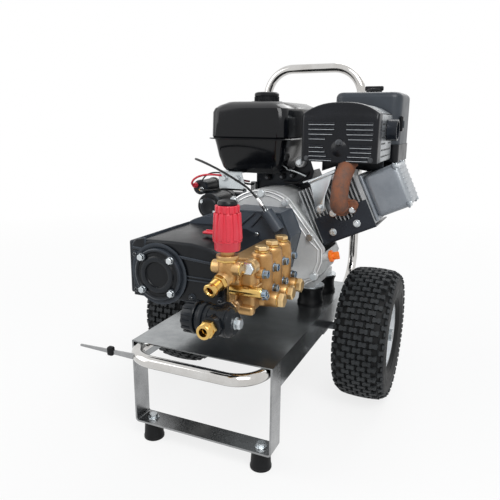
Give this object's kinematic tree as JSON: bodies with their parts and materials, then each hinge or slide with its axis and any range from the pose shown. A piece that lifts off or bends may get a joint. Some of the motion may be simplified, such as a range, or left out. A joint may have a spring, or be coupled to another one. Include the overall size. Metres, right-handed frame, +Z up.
{
  "type": "pressure washer",
  "caption": "Engine-driven pressure washer on a two-wheeled stainless cart, with a geared plunger pump, brass head, unloader and water filter.",
  "frame": {"origin": "on the ground under the middle of the machine's box", "axes": "+Z up, +Y from the pump towards the handle, +X to the cylinder's side"},
  "size_m": [0.677, 0.8346, 0.8477],
  "materials": {
    "brushed_stainless": "satin",
    "leg_stainless": "satin",
    "mount_rubber": "moulded rubber",
    "polished_tube": "polished",
    "axle_steel": "satin",
    "zinc_plate": "zinc plated",
    "tyre_rubber": "moulded rubber",
    "rim_white": "gloss paint",
    "bearing_steel": "ground",
    "cast_alloy": "as cast",
    "orange_plastic": "moulded",
    "grey_paint": "satin paint",
    "machined_alloy": "machined",
    "black_sheet": "satin paint",
    "black_plastic": "moulded",
    "gloss_black": "gloss enamel",
    "muffler_steel": "heat stained",
    "rusty_steel": "rusted",
    "grey_plastic": "moulded",
    "black_cast": "textured paint",
    "forged_steel": "ground",
    "iron": "cast",
    "ceramic": "ground ceramic",
    "forged_brass": "forged",
    "blue_zinc": "zinc plated",
    "bright_brass": "machined",
    "red_plastic": "moulded",
    "filter_plastic": "moulded",
    "cable_jacket": "extruded"
  },
  "bodies": {
    "frame": {"deck": "brushed_stainless", "foot_bracket": "leg_stainless", "rubber_feet": "mount_rubber", "front_tube": "polished_tube", "handle_tube": "polished_tube", "axle": "axle_steel", "lance_rest": "polished_tube", "zinc_bolts": "zinc_plate", "engine_mounts": "mount_rubber", "crankcase": "cast_alloy", "side_cover": "cast_alloy", "cylinder": "cast_alloy", "cylinder_head": "cast_alloy", "valve_cover": "grey_paint", "piston": "machined_alloy", "cylinder_shroud": "black_sheet", "fan_housing": "black_sheet", "recoil_housing": "black_sheet", "fuel_tank": "gloss_black", "muffler": "muffler_steel", "muffler_guard": "black_sheet", "exhaust_pipe": "rusty_steel", "cleaner_base": "black_plastic", "carburettor": "machined_alloy", "starter_motor": "black_cast", "gear_housing": "black_cast", "pump_crankcase": "black_cast", "pump_covers": "black_cast", "plungers": "ceramic", "pump_head": "forged_brass", "valve_caps": "forged_brass", "head_bolts": "blue_zinc", "unloader_body": "forged_brass", "brass_nipples": "bright_brass", "filter_body": "filter_plastic", "filter_screen": "bearing_steel", "throttle_actuator": "black_cast", "throttle_cable": "cable_jacket"},
    "left_wheel": {"left_tyre": "tyre_rubber", "left_rim": "rim_white", "left_bearings": "bearing_steel"},
    "right_wheel": {"right_tyre": "tyre_rubber", "right_rim": "rim_white", "right_bearings": "bearing_steel"},
    "engine_shaft": {"crankshaft": "forged_steel", "flywheel": "iron", "pinion": "forged_steel"},
    "pump_drive": {"pump_shaft": "forged_steel", "drive_gear": "forged_steel"},
    "unloader_knob": {"unloader_knob": "red_plastic"},
    "cap_seal": {"fuel_gasket": "mount_rubber"},
    "fuel_cap": {"fuel_cap": "black_plastic"},
    "dipstick": {"dipstick": "orange_plastic"},
    "recoil_handle": {"recoil_handle": "black_plastic"},
    "throttle_lever": {"throttle_lever": "zinc_plate"},
    "cleaner_cover": {"cleaner_cover": "grey_plastic"},
    "cleaner_knob": {"cleaner_knob": "black_plastic"},
    "filter_cap": {"filter_cap": "filter_plastic"},
    "inlet_fitting": {"inlet_fitting": "bright_brass"},
    "oil_cap": {"oil_cap": "red_plastic"}
  },
  "joints": [
    {"name": "left_wheel_spin", "type": "hinge", "parent": "frame", "child": "left_wheel", "pos_m": [-0.27596, 0.13465, 0.165], "axis": [1, 0, 0], "continuous": true},
    {"name": "right_wheel_spin", "type": "hinge", "parent": "frame", "child": "right_wheel", "pos_m": [0.24205, 0.13465, 0.165], "axis": [1, 0, 0], "continuous": true},
    {"name": "engine_spin", "type": "hinge", "parent": "frame", "child": "engine_shaft", "pos_m": [-0.00496, 0.10465, 0.416], "axis": [0, 1, 0], "continuous": true},
    {"name": "pump_spin", "type": "hinge", "parent": "frame", "child": "pump_drive", "pos_m": [-0.1105, -0.09535, 0.385], "axis": [0, 1, 0], "continuous": true},
    {"name": "unloader_turn", "type": "hinge", "parent": "frame", "child": "unloader_knob", "pos_m": [0.05405, -0.30535, 0.457], "axis": [0, 0, 1], "range_deg": [0, 720]},
    {"name": "fuel_cap_lift", "type": "slide", "parent": "frame", "child": "cap_seal", "axis": [0, 0, 1], "range_m": [0, 0.06]},
    {"name": "fuel_cap_turn", "type": "hinge", "parent": "cap_seal", "child": "fuel_cap", "pos_m": [-0.04095, 0.10465, 0.715], "axis": [0, 0, 1], "range_deg": [0, 90]},
    {"name": "dipstick_pull", "type": "slide", "parent": "frame", "child": "dipstick", "axis": [0.9707, 0, 0.2402], "range_m": [0, 0.08]},
    {"name": "recoil_pull", "type": "slide", "parent": "frame", "child": "recoil_handle", "axis": [-0.8, 0, 0.6], "range_m": [0, 0.4], "stiffness_N_per_m": 12},
    {"name": "throttle_turn", "type": "hinge", "parent": "frame", "child": "throttle_lever", "pos_m": [0.11704, 0.19065, 0.5593], "axis": [0, 0, 1], "range_deg": [-35, 35]},
    {"name": "cleaner_lift", "type": "slide", "parent": "frame", "child": "cleaner_cover", "axis": [0, 0, 1], "range_m": [0, 0.14]},
    {"name": "cleaner_knob_turn", "type": "hinge", "parent": "cleaner_cover", "child": "cleaner_knob", "pos_m": [0.18604, 0.27665, 0.757], "axis": [0, 0, 1], "range_deg": [0, 720]},
    {"name": "filter_cap_turn", "type": "hinge", "parent": "frame", "child": "filter_cap", "pos_m": [0.02304, -0.35535, 0.339], "axis": [1, 0, 0], "range_deg": [0, 720]},
    {"name": "inlet_swivel", "type": "hinge", "parent": "frame", "child": "inlet_fitting", "pos_m": [0.06305, -0.41735, 0.339], "axis": [0, 1, 0], "continuous": true},
    {"name": "oil_cap_pull", "type": "slide", "parent": "frame", "child": "oil_cap", "axis": [0, 0, 1], "range_m": [0, 0.04]}
  ],
  "couplings": [
    {"joint": "pump_spin", "follows": "engine_spin", "ratio": -0.46667}
  ]
}
